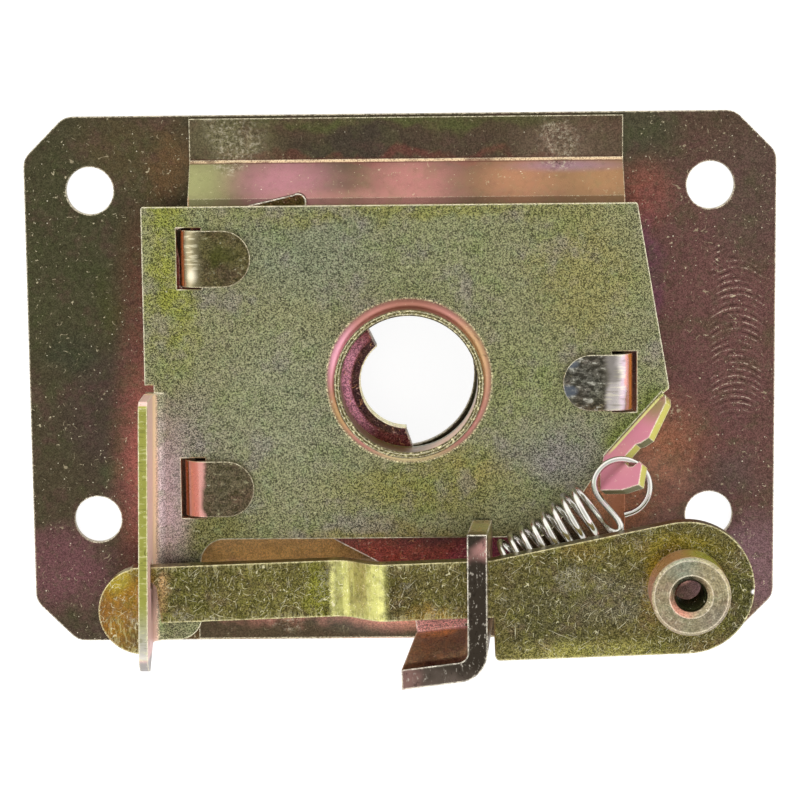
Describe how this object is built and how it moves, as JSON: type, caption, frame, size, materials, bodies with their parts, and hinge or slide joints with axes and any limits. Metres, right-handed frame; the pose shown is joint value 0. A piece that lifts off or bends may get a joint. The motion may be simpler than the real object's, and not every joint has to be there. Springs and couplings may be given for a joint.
{
  "type": "hood lock",
  "caption": "Pressed steel hood lock: a spring-loaded latch plate swings to catch a striker pin's neck, and a release lever draws it back.",
  "frame": {"origin": "axis of the striker hole, on the back face of the mounting plate", "axes": "+Z out of the mounting plate towards the mechanism, +X along the plate's long side towards the lever's bush, +Y towards the edge that the latch plate's nose points at"},
  "size_m": [0.126, 0.0922, 0.0314],
  "materials": {
    "base_plate": "yellow zinc plated sheet, dark iridescent",
    "bracket": "yellow zinc plated sheet",
    "cover_plate": "yellow zinc plated sheet, fine matte grain",
    "latch": "yellow zinc plated plate, reddish",
    "lever": "yellow zinc plated plate, olive",
    "lever_boss": "zinc plated, turned",
    "return_spring": "bright zinc plated spring wire"
  },
  "bodies": {
    "housing": {"base_plate": "base_plate", "bracket": "bracket", "cover_plate": "cover_plate", "return_spring": "return_spring"},
    "latch_arm": {"latch": "latch"},
    "lever_arm": {"lever": "lever", "lever_boss": "lever_boss"}
  },
  "joints": [
    {"name": "lever_swing", "type": "hinge", "parent": "housing", "child": "lever_arm", "pos_m": [-0.04219, -0.03191, 0.0176], "axis": [0, 0, -1], "range_deg": [0, 12]},
    {"name": "latch_swing", "type": "hinge", "parent": "housing", "child": "latch_arm", "pos_m": [-0.03525, 0.0209, 0.0101], "axis": [0, 0, -1], "range_deg": [0, 12.8], "stiffness_Nm_per_rad": 2, "springref_deg": -20.05, "deforming": ["return_spring"]}
  ],
  "couplings": [
    {"joint": "latch_swing", "follows": "lever_swing", "ratio": 1.06}
  ]
}
